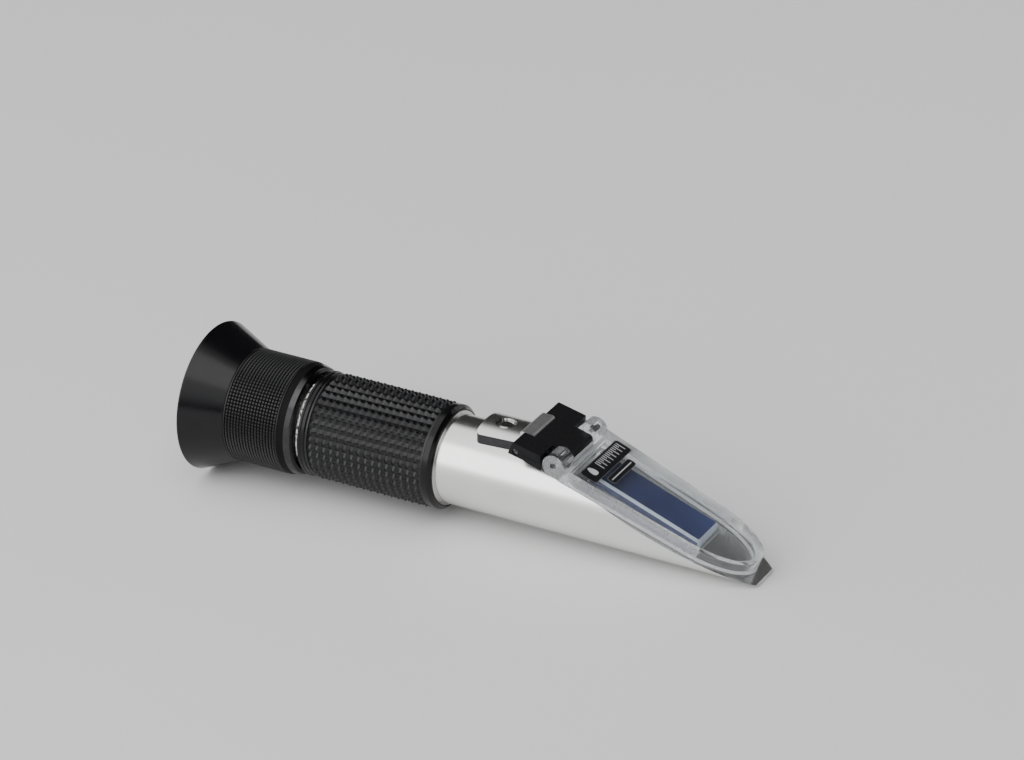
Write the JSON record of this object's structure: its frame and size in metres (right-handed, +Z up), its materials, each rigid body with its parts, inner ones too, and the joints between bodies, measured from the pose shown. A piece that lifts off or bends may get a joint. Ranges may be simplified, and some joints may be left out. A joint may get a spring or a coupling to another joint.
{
  "type": "refractometer",
  "caption": "Hand-held refractometer: eyecup, focusing eyepiece, rubber-gripped barrel, chromed body with slanted prism and a hinged clear daylight plate.",
  "frame": {"origin": "on the optical axis, in the plane of the eyecup's rim", "axes": "+X along the optical axis from the eyecup to the prism nose, +Z up through the calibration screw, +Y to the left when looking through the eyepiece"},
  "size_m": [0.159, 0.04, 0.04],
  "materials": {
    "chromed_body": "satin chrome plate on turned metal",
    "bare_metal": "turned, bare",
    "black_anodised": "glossy black anodised",
    "black_metal": "matt black, against stray light",
    "rubber": "moulded black rubber",
    "eyecup_rubber": "smooth glossy black rubber",
    "optical_glass": "polished, coated",
    "prism_glass": "polished blue-tinted glass",
    "seal": "grey optical cement",
    "brass": "machined",
    "bimetal": "rolled strip",
    "black_plastic": "moulded black plastic with a fine grain",
    "clear_plastic": "clear acrylic, polished"
  },
  "bodies": {
    "housing": {"front_body": "chromed_body", "barrel_tube": "bare_metal", "stop_collar": "black_anodised", "rubber_grip": "rubber", "grip_ring": "black_anodised", "reticle": "optical_glass", "reticle_ring": "black_metal", "main_prism": "prism_glass", "prism_seal": "seal", "light_stop": "black_metal", "arm_pivot_pin": "bare_metal", "return_spring": "bare_metal", "focus_guide_pin": "bare_metal"},
    "eyepiece_cell": {"lens_cell": "black_metal", "eye_lens": "optical_glass", "eye_lens_ring": "black_metal", "lens_spacer": "black_metal", "field_lens": "optical_glass", "field_lens_ring": "black_metal"},
    "focus_ring": {"focus_ring": "black_anodised", "focus_sleeve": "rubber", "cell_retainer": "black_metal", "eyecup": "eyecup_rubber"},
    "calibration_screw": {"calibration_screw": "bare_metal"},
    "objective_arm": {"lens_arm": "brass", "objective_lens": "optical_glass", "objective_ring": "black_metal", "bimetal_strip": "bimetal"},
    "hinge_block": {"hinge_block": "black_plastic", "rear_hinge_pin": "black_metal", "front_hinge_pin": "black_metal"},
    "daylight_plate": {"daylight_plate": "clear_plastic"}
  },
  "joints": [
    {"name": "focus_slide", "type": "slide", "parent": "housing", "child": "eyepiece_cell", "axis": [1, 0, 0], "range_m": [-0.0041, 0.00065]},
    {"name": "focus_turn", "type": "hinge", "parent": "eyepiece_cell", "child": "focus_ring", "pos_m": [0.02, 0, 0], "axis": [1, 0, 0], "range_deg": [-360, 54]},
    {"name": "calibration_turn", "type": "hinge", "parent": "housing", "child": "calibration_screw", "pos_m": [0.0862, 0, 0.012], "axis": [0, 0, -1], "range_deg": [-180, 180]},
    {"name": "lens_tilt", "type": "hinge", "parent": "housing", "child": "objective_arm", "pos_m": [0.076, 0, -0.007], "axis": [0, 1, 0], "range_deg": [-1, 1], "deforming": ["return_spring"]},
    {"name": "block_hinge", "type": "hinge", "parent": "housing", "child": "hinge_block", "pos_m": [0.0952, 0, 0.0138], "axis": [0, -1, 0], "range_deg": [0, 90]},
    {"name": "plate_hinge", "type": "hinge", "parent": "hinge_block", "child": "daylight_plate", "pos_m": [0.1057, 0, 0.0122], "axis": [0, -1, 0], "range_deg": [0, 85]}
  ],
  "couplings": [
    {"joint": "focus_slide", "follows": "focus_turn", "m_per_rad": 0.00063662},
    {"joint": "lens_tilt", "follows": "calibration_turn", "ratio": 0.005461}
  ]
}
